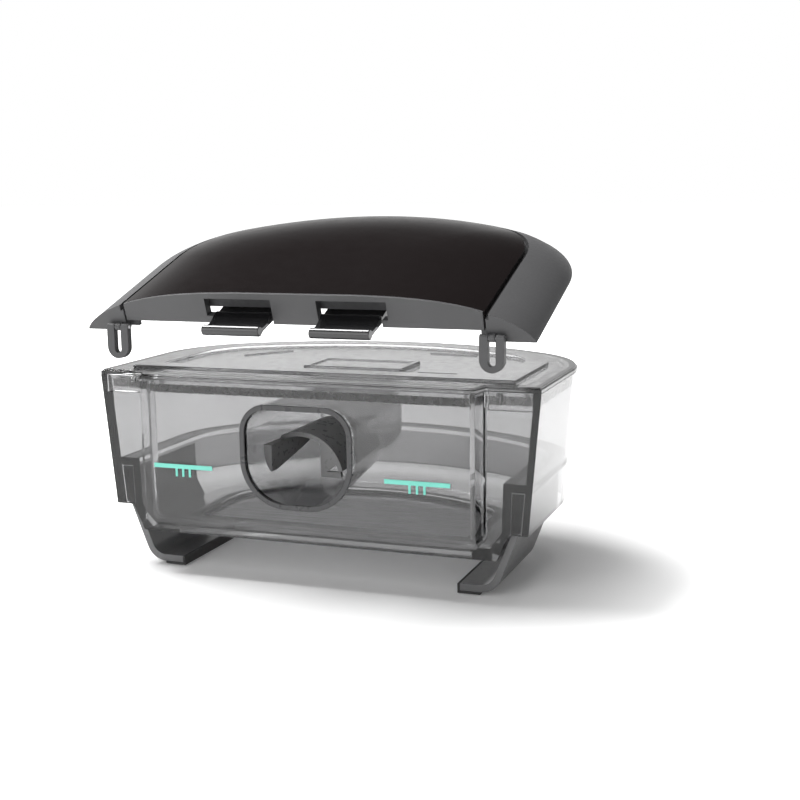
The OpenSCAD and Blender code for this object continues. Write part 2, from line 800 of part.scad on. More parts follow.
module cover_liner() {
    color([0.2, 0.2, 0.21]) on_cover() {
        difference() {
            intersection() {
                crowned(0, panel_t + fit_gap, -1);
                slab(panel_points(ledge_t + fit_gap, band_t + fit_gap), 0, cover_h);
            }
            crowned(0, panel_t + fit_gap + liner_t, -1);
        }
        for (s = [0, 1]) mirror([s, 0, 0]) {
            for (x = [tongue_in - 0.4 - lug_t, tongue_out + 0.4]) latch_lug(x);
            intersection() {
                crowned(0, panel_t + fit_gap + liner_t / 2, -1);
                translate([tongue_in - blind_side, band_t + fit_gap, blind_z])
                    cube([tongue_out - tongue_in + 2 * blind_side, liner_t, cover_h]);
            }
        }
    }
}

barrel_r = 2;

module latch_lug(x) {
    top = cover_h - panel_t - fit_gap - liner_t / 2 - 0.4;
    translate([x, pivot_y, 0]) difference() {
        union() {
            translate([0, 0, pivot_z]) rotate([0, 90, 0]) cylinder(r = barrel_r, h = lug_t, $fn = 48);
            translate([0, -barrel_r, pivot_z]) cube([lug_t, 2 * barrel_r, top - pivot_z]);
        }
        translate([-1, 0, pivot_z]) rotate([0, 90, 0]) cylinder(r = pivot_r, h = lug_t + 2, $fn = 48);
    }
}

// ---- latch tongues --------------------------------------------------------------------

ridge_y = 0.5;      // the low ridge at the back of the finger hollow
ridge_h = 0.7;
hollow_depth = 0.9;

// Upper face of the finger hollow between the lip and the ridge
function hollow_z(u) = pivot_z + tongue_t / 2 + ridge_h * u - hollow_depth * sin(180 * u);

module tongue_shape() {
    top = pivot_z + tongue_t / 2;
    low = pivot_z - tongue_t / 2;
    n = 10;
    polygon(concat(
        [[lip_y, low], [pivot_y, low], [pivot_y, top], [ridge_y + 1, top], [ridge_y + 0.4, top + ridge_h]],
        [for (i = [n : -1 : 0]) [lip_y + (ridge_y - lip_y) * i / n, hollow_z(i / n)]]
    ));
    translate([lip_y, lip_z]) circle(lip_r, $fn = 48);
}

module latch_tongue(s) {
    w = tongue_out - tongue_in;
    color([0.06, 0.06, 0.07]) on_cover() side(s) translate([tongue_in, 0, 0]) difference() {
        union() {
            rotate([90, 0, 90]) linear_extrude(w) tongue_shape();
            translate([0, pivot_y, pivot_z]) rotate([0, 90, 0]) cylinder(r = barrel_r, h = w, $fn = 48);
        }
        translate([-1, pivot_y, pivot_z]) rotate([0, 90, 0]) cylinder(r = pivot_r + run_gap, h = w + 2, $fn = 48);
    }
}

module latch_pin(s) {
    color([0.7, 0.7, 0.72]) on_cover() side(s)
        translate([tongue_in - 0.4 - lug_t, pivot_y, pivot_z]) rotate([0, 90, 0])
            cylinder(r = pivot_r, h = tongue_out - tongue_in + 0.8 + 2 * lug_t, $fn = 48);
}

tub_base();
port_ring();
air_tunnel();
flow_divider();
heater_plate();
plate_seal();
rail(-1);  // left_rail
rail(1);  // right_rail
foot_shoe(-1);  // left_foot_shoe
foot_shoe(1);  // right_foot_shoe
level_mark(-1);  // left_level_mark
level_mark(1);  // right_level_mark
tank_lid();
lid_seal();
snap_loop(-1);  // left_snap_loop
snap_loop(1);  // right_snap_loop
loop_pin(-1);  // left_loop_pin
loop_pin(1);  // right_loop_pin
cover_rim();
cover_front_band();
cover_panel();
cover_liner();
latch_tongue(-1);  // left_latch_tongue
latch_tongue(1);  // right_latch_tongue
latch_pin(-1);  // left_latch_pin
latch_pin(1);  // right_latch_pin
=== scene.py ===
"""Looks, stage and camera for the clear water tub of a bedside humidifier with its cover lifted off."""

import json
import math

import bmesh
import bpy
from bpy.props import FloatProperty, FloatVectorProperty, PointerProperty
from mathutils import Matrix, Vector


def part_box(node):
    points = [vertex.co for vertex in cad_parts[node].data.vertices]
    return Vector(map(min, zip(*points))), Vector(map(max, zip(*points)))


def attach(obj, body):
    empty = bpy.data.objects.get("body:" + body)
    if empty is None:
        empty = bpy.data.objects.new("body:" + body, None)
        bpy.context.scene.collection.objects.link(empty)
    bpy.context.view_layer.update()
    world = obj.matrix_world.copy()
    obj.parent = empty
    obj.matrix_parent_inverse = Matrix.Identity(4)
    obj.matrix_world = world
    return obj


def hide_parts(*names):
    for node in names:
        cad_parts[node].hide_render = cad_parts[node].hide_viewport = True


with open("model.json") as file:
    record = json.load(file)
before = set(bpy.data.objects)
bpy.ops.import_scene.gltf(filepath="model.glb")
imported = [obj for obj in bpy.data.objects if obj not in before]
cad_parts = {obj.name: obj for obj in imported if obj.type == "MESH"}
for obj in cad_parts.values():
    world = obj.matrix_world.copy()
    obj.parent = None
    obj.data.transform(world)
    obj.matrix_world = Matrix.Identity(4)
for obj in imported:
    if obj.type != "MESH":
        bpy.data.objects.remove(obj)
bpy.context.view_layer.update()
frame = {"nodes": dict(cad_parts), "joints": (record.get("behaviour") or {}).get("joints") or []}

bl_info = {
    "name": "Humidifier Water Tub",
    "version": (1, 0, 0),
    "blender": (4, 5, 0),
    "location": "3D View > Sidebar > Water Tub",
    "description": "Dresses the water tub, its lid and its lifted cover, and sets them on a pale floor",
    "category": "Object",
}

JOINTS = {joint["name"]: joint for joint in frame["joints"]}
COVER_PIN = Vector(JOINTS["cover_tilt"]["pos_m"])
BAY_DEPTH = 0.0059
FLANGE_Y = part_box("tub_base")[0][1] + BAY_DEPTH
COVER_TILT = math.radians(-JOINTS["cover_tilt"]["range_deg"][0])

# The cover's crown: its insets from the edge in millimetres, and the curve of its height over them
CROWN_INSETS = (0.0, 0.2, 0.6, 1.2, 2, 3, 4.4, 6, 8, 10.5, 13.5, 17, 21, 26, 32, 40, 50)
CROWN_POWER, CROWN_ROOT, CROWN_SHARE = 3.7, 0.7, 0.985
# The straight sides end at least this many corner radii before the back
BACK_ROOM = 1.27
THIN = 0.00001

# Doubled corners and flat angles that are merged on the pieces cut here
FINE_MERGE, FINE_FLAT = 1e-6, 0.05

# Part of a noise that is spread over a value's range
NOISE_LOW, NOISE_HIGH = 0.3, 0.7
CLEAR_IOR = 1.46

FLOOR_SIZE, FLOOR_Z, FLOOR_GLOW = 8.0, -0.0003, 0.08
WALL_TOP, CEILING_FROM = 0.25, 0.55
SENSOR_MM = 36.0
LIGHT_BOUNCES = 20
LAMP_AIM = Vector((0, 0, 0.05))
LAMPS = (
    ("key_lamp", (-0.45, 0.05, 0.85), 0.45, 12.5),
    ("front_lamp", (-0.25, -0.9, 0.45), 0.8, 4.6),
    ("top_lamp", (0.0, 0.1, 1.1), 0.9, 3.4),
)


# ---- settings -------------------------------------------------------------------------------


def length(name, description, default):
    return FloatProperty(name=name, description=description, default=default, min=0.0, unit="LENGTH", precision=5)


def number(name, description, default, least=0.0):
    return FloatProperty(name=name, description=description, default=default, min=least)


def colour(name, description, default):
    return FloatVectorProperty(
        name=name, description=description, default=default, size=3, min=0.0, max=1.0, subtype="COLOR"
    )


class CoverSettings(bpy.types.PropertyGroup):
    """Sizes of the cover as it lies closed, from its lower front edge"""

    half_width: length("Half width", "Half of the cover's width at its lower edge", 0.069)
    depth: length("Depth", "From the front face to the back", 0.084)
    side: length("Straight side", "Length of the straight stretch of each side", 0.038)
    corner: length("Corner radius", "Radius of the back corners at the lower edge", 0.036)
    crown: length("Crown height", "Height of the crown above the lower edge", 0.0127)
    shell: length("Shell", "Thickness of the rim's wall", 0.0024)
    panel_thickness: length("Panel thickness", "Thickness of the glossy panel", 0.0016)
    panel_half: length("Panel half width", "Half of the glossy panel's width", 0.0552)
    panel_back: length("Panel back", "Depth of the glossy panel's back edge", 0.074)
    panel_corner: length("Panel corner radius", "Radius of the glossy panel's back corners", 0.0335)
    groove: length("Groove", "Width of the groove between the panel and the rim", 0.0012)
    ledge: length("Ledge", "Width of the rim's ledge below the panel", 0.0032)
    band_bottom: length("Band bottom", "Height of the front band's lower edge", 0.0032)
    band_thickness: length("Band thickness", "Thickness of the front band", 0.0028)
    seam: length("Seam", "Half of the seam between the front band and the rim", 0.0003)
    pin_depth: length("Pin depth", "How far the loop pins lie in front of the face", 0.00135)
    pin_height: length("Pin height", "Height of the loop pins above the lower edge", 0.0016)
    loop_place: length("Loop place", "Sideways place of the snap loops", 0.0574)
    loop_thickness: length("Loop thickness", "Thickness of a snap loop", 0.0021)
    lug_width: length("Lug width", "Width of the rim's lug between a loop's arms", 0.0017)
    backing_width: length("Backing width", "Width of the rim's block behind each seam", 0.0044)
    backing_depth: length("Backing depth", "Depth of that block", 0.0012)
    backing_height: length("Backing height", "Height of that block", 0.006)
    edge_round: length("Edge rounding", "Width of the rounding on the cover's edges", 0.00035)


class TongueSettings(bpy.types.PropertyGroup):
    """Sizes of the latch tongues on the closed cover"""

    inner: length("Inner end", "Inner end of a tongue, from the middle of the cover", 0.0076)
    outer: length("Outer end", "Outer end of a tongue, from the middle of the cover", 0.0254)
    reach: length("Reach", "How far a tongue's lip reaches in front of the cover", 0.0091)
    lip: length("Lip radius", "Radius of the lip", 0.0015)
    thickness: length("Thickness", "Thickness of a tongue", 0.0019)
    pivot_depth: length("Pivot depth", "Depth of the pivot behind the cover's face", 0.0135)
    pivot_height: length("Pivot height", "Height of the pivot above the cover's lower edge", 0.0046)
    ridge: length("Ridge height", "Height of the ridge behind the finger hollow", 0.0007)
    hollow: length("Hollow depth", "Depth of the finger hollow", 0.0009)
    window_room: length("Window room", "Free room between a tongue and its window", 0.0006)
    window_side: length("Side room", "Room beside a tongue above the sill", 0.0024)
    window_top: length("Window top", "Height of the windows' upper edge", 0.0107)
    sill: length("Sill", "Height of the sill beside a tongue", 0.0053)


class TunnelSettings(bpy.types.PropertyGroup):
    """Sizes of the air tunnel and of the port in front of it, from the front flange"""

    middle: FloatProperty(
        name="Middle", description="Sideways place of the port's middle", default=-0.0015, unit="LENGTH", precision=5
    )
    width: length("Width", "Width of the port's opening", 0.032)
    top: length("Top", "Height of the port's upper edge", 0.0516)
    bottom: length("Bottom", "Height of the port's lower edge", 0.0242)
    top_corner: length("Top corners", "Radius of the port's upper corners", 0.007)
    low_corner: length("Low corners", "Radius of the port's lower corners", 0.0125)
    wall: length("Wall", "Thickness of the tunnel's wall", 0.0012)
    bay: length("Bay", "How far the bay stands out of the front flange", BAY_DEPTH)
    reach: length("Length", "How far the tunnel reaches into the tub", 0.054)
    rise: length("Rise", "Rise of the tunnel's floor over that length", 0.008)
    taper: length("Taper", "How much narrower the tunnel is at its end, on each side", 0.0025)
    end_top: length("End top corners", "Radius of the tunnel's upper corners at its end", 0.005)
    end_low: length("End low corners", "Radius of the tunnel's lower corners at its end", 0.008)
    nose: length("Nose length", "Length of the rounded nose", 0.006)
    nose_in: length("Nose inset", "How far the nose closes in, all round", 0.0045)
    outlet_width: length("Outlet width", "Width of the opening in the tunnel's top", 0.02)
    outlet_length: length("Outlet length", "Length of that opening", 0.013)


class FinishSettings(bpy.types.PropertyGroup):
    """Colours of the finishes"""

    clear: colour("Clear colour", "What one wall of the clear smoky plastic lets through", (0.46, 0.46, 0.463))
    lid: colour("Lid colour", "What the lid lets through", (0.80, 0.80, 0.803))
    clear_tint: colour("Clear tint", "Tint of the clear smoky plastic in its depth", (0.30, 0.30, 0.31))
    clear_density: number("Clear density", "How strongly the clear plastic darkens with depth, per metre", 18.0)
    tunnel: colour("Tunnel colour", "What one wall of the tunnel lets through", (0.5, 0.5, 0.503))
    rail: colour("Rails", "Grey of the rails", (0.13, 0.13, 0.132))
    rim: colour("Rim", "Satin grey of the rim, the band and the loops", (0.085, 0.085, 0.087))
    panel: colour("Panel", "Glossy brown-black of the panel", (0.0095, 0.0072, 0.0072))
    tongue: colour("Tongues", "Black of the latch tongues", (0.012, 0.012, 0.013))
    mark: colour("Level marks", "Teal of the level marks", (0.2, 0.7, 0.58))


class StageSettings(bpy.types.PropertyGroup):
    """The camera, the room's light and the floor"""

    camera_place: FloatVectorProperty(
        name="Camera",
        description="Where the camera stands",
        default=(0.157493, -0.374514, 0.118451),
        unit="LENGTH",
        size=3,
    )
    camera_turn: FloatVectorProperty(
        name="Camera turn",
        description="Turn to the left, tilt down and roll",
        default=(0.362848, 0.171823, -0.015738),
        subtype="EULER",
        size=3,
    )
    lens: number("Lens", "Focal length in millimetres on a 36 mm sensor", 59.434, 10.0)
    floor: colour("Floor", "Colour of the floor", (0.9, 0.9, 0.9))
    white_near: length("Shade reach", "How far from the middle the floor keeps its full shade", 0.07)
    white_far: length("White from", "How far from the middle the floor turns white", 0.15)
    room: number("Room light", "How strongly the room lights the pieces", 0.4)
    mirrored: number("Mirrored light", "How bright the room looks in a gloss", 0.75)
    ceiling: number("Ceiling", "How bright the ceiling is beside the walls", 0.12)
    through: number("Light through", "How bright the floor's white looks through a clear piece", 0.3)


SETTINGS = {
    "tub_cover": CoverSettings,
    "tub_tongue": TongueSettings,
    "tub_tunnel": TunnelSettings,
    "tub_finish": FinishSettings,
    "tub_stage": StageSettings,
}


# ---- modelling ------------------------------------------------------------------------------


def activate(piece):
    """Leaves this piece alone selected and active."""
    bpy.ops.object.select_all(action="DESELECT")
    piece.select_set(True)
    bpy.context.view_layer.objects.active = piece


def loft(name, rings):
    """A closed solid through rings of equal length: a filled ring, extruded and shaped ring by ring."""
    bpy.ops.object.select_all(action="DESELECT")
    bpy.ops.mesh.primitive_circle_add(vertices=len(rings[0]), radius=1.0, fill_type="NGON")
    piece = bpy.context.object
    piece.name = piece.data.name = name
    for vertex, point in zip(piece.data.vertices, rings[0]):
        vertex.co = point
    bpy.ops.object.mode_set(mode="EDIT")
    bpy.ops.mesh.select_all(action="SELECT")
    previous = rings[0]
    for ring in rings[1:]:
        bpy.ops.mesh.extrude_region_move()
        mesh = bmesh.from_edit_mesh(piece.data)
        target = {tuple(round(c, 8) for c in Vector(a)): b for a, b in zip(previous, ring)}
        for vertex in mesh.verts:
            if vertex.select:
                vertex.co = target[tuple(round(c, 8) for c in vertex.co)]
        bmesh.update_edit_mesh(piece.data)
        previous = [tuple(Vector(p)) for p in ring]
    bpy.ops.mesh.select_all(action="SELECT")
    bpy.ops.mesh.normals_make_consistent(inside=False)
    bpy.ops.object.mode_set(mode="OBJECT")
    return piece


def prism(name, outline, low, high):
    """A straight solid over a plan outline."""
    return loft(name, [[(x, y, low) for x, y in outline], [(x, y, high) for x, y in outline]])


def block(name, low, high):
    """A box between two corners."""
    corners = [(low[0], low[1]), (high[0], low[1]), (high[0], high[1]), (low[0], high[1])]
    return prism(name, corners, low[2], high[2])


def rod(name, start, end, radius, sides=48):
    """A round rod along X, at the height and depth of its start."""
    steps = [2 * math.pi * i / sides for i in range(sides)]
    ring = [(start[1] + radius * math.cos(a), start[2] + radius * math.sin(a)) for a in steps]
    return loft(name, [[(x, y, z) for y, z in ring] for x in (start[0], end[0])])


def carve(piece, tool, operation="DIFFERENCE"):
    """Cuts a piece with a tool, joins them or keeps what they share."""
    activate(piece)
    modifier = piece.modifiers.new("Cut", "BOOLEAN")
    modifier.operation = operation
    modifier.solver = "EXACT"
    modifier.object = tool
    bpy.ops.object.modifier_apply(modifier=modifier.name)
    bpy.data.objects.remove(tool)
    return piece


def tidy_mesh(piece, merge=2e-6, flat=0.4):
    """Merges doubled corners and joins flat areas into single faces."""
    activate(piece)
    bpy.ops.object.mode_set(mode="EDIT")
    bpy.ops.mesh.select_all(action="SELECT")
    bpy.ops.mesh.remove_doubles(threshold=merge)
    bpy.ops.mesh.dissolve_limited(angle_limit=math.radians(flat))
    bpy.ops.object.mode_set(mode="OBJECT")
    return piece


def welded_copy(node, name):
    """A new piece from a CAD node's mesh, with its loose triangles merged."""
    piece = bpy.data.objects.new(name, frame["nodes"][node].data.copy())
    bpy.context.collection.objects.link(piece)
    piece.data.name = name
    piece.data.materials.clear()
    return tidy_mesh(piece)


def soften(piece, width, segments=2, sharp=38.0):
    """Rounds the sharp edges and shades the rest smooth."""
    activate(piece)
    if width > 0:
        bevel = piece.modifiers.new("Round", "BEVEL")
        bevel.width = width
        bevel.segments = segments
        bevel.limit_method = "ANGLE"
        bevel.angle_limit = math.radians(sharp)
        bevel.use_clamp_overlap = True
        bpy.ops.object.modifier_apply(modifier=bevel.name)
    bpy.ops.object.shade_smooth_by_angle(angle=math.radians(sharp))
    weigh = piece.modifiers.new("Weigh", "WEIGHTED_NORMAL")
    weigh.keep_sharp = True
    bpy.ops.object.modifier_apply(modifier=weigh.name)
    return piece


def dress(piece, material, body, slot, *nodes):
    """Gives a piece its material and its body, and hides the CAD nodes that it stands for; the slot is not used."""
    piece.data.materials.clear()
    piece.data.materials.append(material)
    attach(piece, body)
    if nodes:
        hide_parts(*nodes)
    return piece


def repaint(node, material):
    """Gives a CAD node that stays a new material."""
    data = frame["nodes"][node].data
    data.materials.clear()
    data.materials.append(material)


# ---- outlines of the cover ------------------------------------------------------------------


def arc(cx, cy, radius, start, end, steps):
    """Points on an arc, both ends included."""
    turns = [start + (end - start) * i / steps for i in range(steps + 1)]
    return [(cx + radius * math.cos(turn), cy + radius * math.sin(turn)) for turn in turns]


def d_outline(half, side, corner, back, front=0.0, steps=18):
    """A D in plan: a straight front, straight sides, round back corners and a shallow round back."""
    a, k = half - corner, side - back
    back_radius = (corner * corner - a * a - k * k) / (2 * (k + corner))
    turn = math.atan2(side - back + back_radius, a)
    return (
        [(-half, front), (half, front)]
        + arc(a, side, corner, 0, turn, steps)
        + arc(0, back - back_radius, back_radius, turn, math.pi - turn, steps)[1:-1]
        + arc(-a, side, corner, math.pi - turn, math.pi, steps)
    )


def cover_slice(s, inset, front):
    """The cover's plan, moved in."""
    half, back = s.half_width - inset, s.depth - inset
    corner = max(s.corner - inset, half / 2)
    return d_outline(half, min(s.side, back - BACK_ROOM * corner), corner, back, front)


def crown_height(s, inset):
    """The crown's height at that distance from the edge."""
    return s.crown * (1 - (1 - inset / s.half_width) ** CROWN_POWER) ** CROWN_ROOT


def crowned(name, s, inset=0.0, drop=0.0, front=0.0):
    """The cover's crowned body, moved in and down."""
    rings = [[(x, y, -THIN - drop) for x, y in cover_slice(s, inset, front)]]
    for step in CROWN_INSETS:
        z = max(crown_height(s, step / 1000) * CROWN_SHARE, THIN) - drop
        rings.append([(x, y, z) for x, y in cover_slice(s, step / 1000 + inset, front)])
    return loft(name, rings)


def panel_outline(s, inset, front):
    """The glossy panel's plan, moved in."""
    return d_outline(s.panel_half - inset, s.side + 0.001, s.panel_corner - inset, s.panel_back - inset, front, 28)


def put_on_cover(piece, s):
    """Moves a piece drawn on the closed cover to the rest pose."""
    from_pin = Matrix.Translation((0, s.pin_depth, -s.pin_height))
    piece.matrix_world = Matrix.Translation(COVER_PIN) @ Matrix.Rotation(COVER_TILT, 4, "X") @ from_pin
    activate(piece)
    bpy.ops.object.transform_apply(location=True, rotation=True, scale=True)
    return piece


# ---- finishes -------------------------------------------------------------------------------


def blank_material(name):
    """A new material with its nodes, links, shader and output."""
    material = bpy.data.materials.new(name)
    material.use_nodes = True
    nodes = material.node_tree.nodes
    return material, nodes, material.node_tree.links, nodes["Principled BSDF"], nodes["Material Output"]


def grain(nodes, links, scale, detail=3.0):
    """Noise over the piece's own coordinates."""
    place = nodes.new("ShaderNodeTexCoord")
    noise = nodes.new("ShaderNodeTexNoise")
    noise.inputs["Scale"].default_value = scale
    noise.inputs["Detail"].default_value = detail
    links.new(place.outputs["Object"], noise.inputs["Vector"])
    return noise.outputs["Fac"]


def spread(nodes, links, value, socket, low, high):
    """Leads the middle of a noise to a socket as low to high."""
    span = nodes.new("ShaderNodeMapRange")
    span.inputs["From Min"].default_value = NOISE_LOW
    span.inputs["From Max"].default_value = NOISE_HIGH
    span.inputs["To Min"].default_value = low
    span.inputs["To Max"].default_value = high
    links.new(value, span.inputs["Value"])
    links.new(span.outputs["Result"], socket)


def bumps(nodes, links, shader, value, strength, distance):
    """Leads a value to the shader's normal as a height."""
    bump = nodes.new("ShaderNodeBump")
    bump.inputs["Strength"].default_value = strength
    bump.inputs["Distance"].default_value = distance
    links.new(value, bump.inputs["Height"])
    links.new(bump.outputs["Normal"], shader.inputs["Normal"])


def mottle(nodes, links, value, socket, base, change):
    """Leads two close shades of a colour to a socket."""
    mix = nodes.new("ShaderNodeMix")
    mix.data_type = "RGBA"
    mix.inputs[6].default_value = (*[c * (1 - change) for c in base], 1)
    mix.inputs[7].default_value = (*[min(c * (1 + change), 1) for c in base], 1)
    links.new(value, mix.inputs["Factor"])
    links.new(mix.outputs[2], socket)


def solid_plastic(name, base, rough, grain_scale, bump, coat=0.0, specular=0.5):
    """Moulded plastic: a fine grain in its height and gloss, and a slight unevenness in its colour."""
    material, nodes, links, shader, _ = blank_material(name)
    fine = grain(nodes, links, grain_scale)
    broad = grain(nodes, links, 60.0, 2.0)
    mottle(nodes, links, broad, shader.inputs["Base Color"], base, 0.06)
    spread(nodes, links, fine, shader.inputs["Roughness"], rough * 0.85, rough * 1.15)
    shader.inputs["Specular IOR Level"].default_value = specular
    shader.inputs["Coat Weight"].default_value = coat
    shader.inputs["Coat Roughness"].default_value = 0.08
    bumps(nodes, links, shader, fine, bump, 0.00005)
    material.diffuse_color = (*base, 1)
    return material


def clear_plastic(name, through, tint, density, rough=0.03):
    """Smoky clear plastic: it darkens with depth, with faint flow waves and fine haze."""
    material, nodes, links, shader, output = blank_material(name)
    wave = grain(nodes, links, 45.0, 1.0)
    haze = grain(nodes, links, 400.0, 2.0)
    shader.inputs["Base Color"].default_value = (*through, 1)
    shader.inputs["Transmission Weight"].default_value = 1.0
    shader.inputs["IOR"].default_value = CLEAR_IOR
    spread(nodes, links, haze, shader.inputs["Roughness"], rough * 0.5, rough * 1.5)
    bumps(nodes, links, shader, wave, 0.04, 0.0004)
    absorb = nodes.new("ShaderNodeVolumeAbsorption")
    absorb.inputs["Color"].default_value = (*tint, 1)
    absorb.inputs["Density"].default_value = density
    links.new(absorb.outputs["Volume"], output.inputs["Volume"])
    material.diffuse_color = (*tint, 0.4)
    return material


def brushed(name, base):
    """Drawn or brushed steel with fine lines along X."""
    material, nodes, links, shader, _ = blank_material(name)
    place = nodes.new("ShaderNodeTexCoord")
    turn = nodes.new("ShaderNodeMapping")
    turn.inputs["Scale"].default_value = (30.0, 3000.0, 3000.0)
    noise = nodes.new("ShaderNodeTexNoise")
    noise.inputs["Scale"].default_value = 1.0
    links.new(place.outputs["Object"], turn.inputs["Vector"])
    links.new(turn.outputs["Vector"], noise.inputs["Vector"])
    shader.inputs["Metallic"].default_value = 1.0
    mottle(nodes, links, noise.outputs["Fac"], shader.inputs["Base Color"], base, 0.08)
    spread(nodes, links, noise.outputs["Fac"], shader.inputs["Roughness"], 0.22, 0.4)
    bumps(nodes, links, shader, noise.outputs["Fac"], 0.1, 0.00003)
    return material


FINISHES = {}


def finish(name):
    """The finish of that name, made on first use."""
    if name not in FINISHES:
        s = bpy.context.scene.tub_finish
        FINISHES[name] = {
            "clear": lambda: clear_plastic("Clear smoky plastic", s.clear, s.clear_tint, s.clear_density),
            "lid": lambda: clear_plastic("Frosted smoky plastic", s.lid, s.clear_tint, s.clear_density, 0.14),
            "tunnel": lambda: clear_plastic("Dark smoky plastic", s.tunnel, s.clear_tint, s.clear_density, 0.08),
            "rail": lambda: solid_plastic("Grey rail plastic", s.rail, 0.32, 900.0, 0.08),
            "rim": lambda: solid_plastic("Satin grey plastic", s.rim, 0.42, 900.0, 0.25, specular=0.25),
            "panel": lambda: solid_plastic("Glossy brown-black plastic", s.panel, 0.2, 300.0, 0.02, specular=0.06),
            "tongue": lambda: solid_plastic("Glossy black plastic", s.tongue, 0.16, 300.0, 0.03, coat=0.3),
            "liner": lambda: solid_plastic("Matt dark plastic", (0.03, 0.03, 0.032), 0.6, 700.0, 0.3),
            "ring": lambda: solid_plastic("Port ring plastic", (0.035, 0.035, 0.037), 0.3, 500.0, 0.1),
            "divider": lambda: solid_plastic("Divider plastic", (0.2, 0.2, 0.202), 0.3, 500.0, 0.1),
            "rubber": lambda: solid_plastic("Black rubber", (0.018, 0.018, 0.018), 0.55, 1200.0, 0.4),
            "seal": lambda: solid_plastic("Dark silicone", (0.07, 0.07, 0.074), 0.5, 1000.0, 0.2),
            "soft": lambda: clear_plastic(
                "Translucent silicone", (0.85, 0.85, 0.855), s.clear_tint, s.clear_density / 2, 0.25
            ),
            "mark": lambda: solid_plastic("Teal ink", s.mark, 0.4, 1500.0, 0.15),
            "plate": lambda: brushed("Brushed steel", (0.62, 0.62, 0.63)),
            "pin": lambda: brushed("Drawn steel", (0.55, 0.55, 0.56)),
        }[name]()
    return FINISHES[name]


def combine(nodes, links, operation, first, second):
    """A math node over two values, each a socket or a number."""
    node = nodes.new("ShaderNodeMath")
    node.operation = operation
    for place, value in zip(node.inputs, (first, second)):
        if isinstance(value, float):
            place.default_value = value
        else:
            links.new(value, place)
    return node.outputs[0]


# ---- operators ------------------------------------------------------------------------------


class TUB_OT_cover_shell(bpy.types.Operator):
    """Makes the cover's satin rim, glossy panel and front band"""

    bl_idname = "tub.cover_shell"
    bl_label = "Cover Shell"

    def execute(self, context):
        s, t = context.scene.tub_cover, context.scene.tub_tongue
        tall, over, gap = 0.02, 0.0005, 0.00015

        rim = crowned("rim", s)
        carve(rim, crowned("inside", s, s.shell, s.panel_thickness + s.shell, s.shell))
        trench = prism("trench", panel_outline(s, -s.groove, -over), -0.001, tall)
        carve(trench, crowned("floor_of_trench", s, 0.0, s.panel_thickness + gap, -0.001))
        carve(rim, trench)
        carve(rim, prism("middle", panel_outline(s, s.ledge, -over), -0.002, tall))
        half = s.panel_half + s.seam
        carve(rim, block("front_gap", (-half, -over, -0.002), (half, s.band_thickness + gap, tall)))
        for side in (-1, 1):
            x0 = side * s.loop_place - s.lug_width / 2
            x1 = x0 + s.lug_width
            r = s.loop_thickness / 2
            lug = rod("lug", (x0, -s.pin_depth, s.pin_height), (x1, 0, 0), r)
            carve(lug, block("web", (x0, -s.pin_depth, s.pin_height - r), (x1, 0.0002, s.pin_height + r)), "UNION")
            carve(rim, lug, "UNION")
            y = s.band_thickness + gap
            xs = [side * s.panel_half + d * s.backing_width / 2 for d in (-1, 1)]
            carve(rim, block("backing", (xs[0], y, gap), (xs[1], y + s.backing_depth, gap + s.backing_height)), "UNION")
        tidy_mesh(rim, FINE_MERGE, FINE_FLAT)
        soften(put_on_cover(rim, s), s.edge_round)
        dress(rim, finish("rim"), "cover", "satin_grey", "cover_rim")

        panel = crowned("glossy_panel", s)
        carve(panel, prism("panel_cut", panel_outline(s, 0.0, 0.001), -0.001, tall), "INTERSECT")
        carve(panel, crowned("below_panel", s, 0.0, s.panel_thickness, -0.001))
        tidy_mesh(panel, FINE_MERGE, FINE_FLAT)
        soften(put_on_cover(panel, s), s.edge_round)
        dress(panel, finish("panel"), "cover", "gloss_black", "cover_panel")

        band = crowned("front_band", s)
        half = s.panel_half - s.seam
        carve(band, block("band_cut", (-half, -over, s.band_bottom), (half, s.band_thickness, tall)), "INTERSECT")
        step = block("step", (-s.half_width, 0.001 - gap, 0), (s.half_width, s.band_thickness + over, tall))
        carve(step, crowned("step_floor", s, 0.0, s.panel_thickness + gap, -0.001))
        carve(band, step)
        for side in (-1, 1):
            inner, outer = t.inner - t.window_room, t.outer
            above_sill = (outer + t.window_side, t.sill, t.window_top)
            below_sill = (outer + t.window_room, -0.001, t.sill + 0.001)
            for x1, low, high in (above_sill, below_sill):
                xs = sorted((side * inner, side * x1))
                carve(band, block("window", (xs[0], -0.001, low), (xs[1], s.band_thickness + 0.001, high)))
        tidy_mesh(band, FINE_MERGE, FINE_FLAT)
        soften(put_on_cover(band, s), s.edge_round * 0.7)
        dress(band, finish("rim"), "cover", "satin_grey", "cover_front_band")
        repaint("cover_liner", finish("liner"))
        return {"FINISHED"}


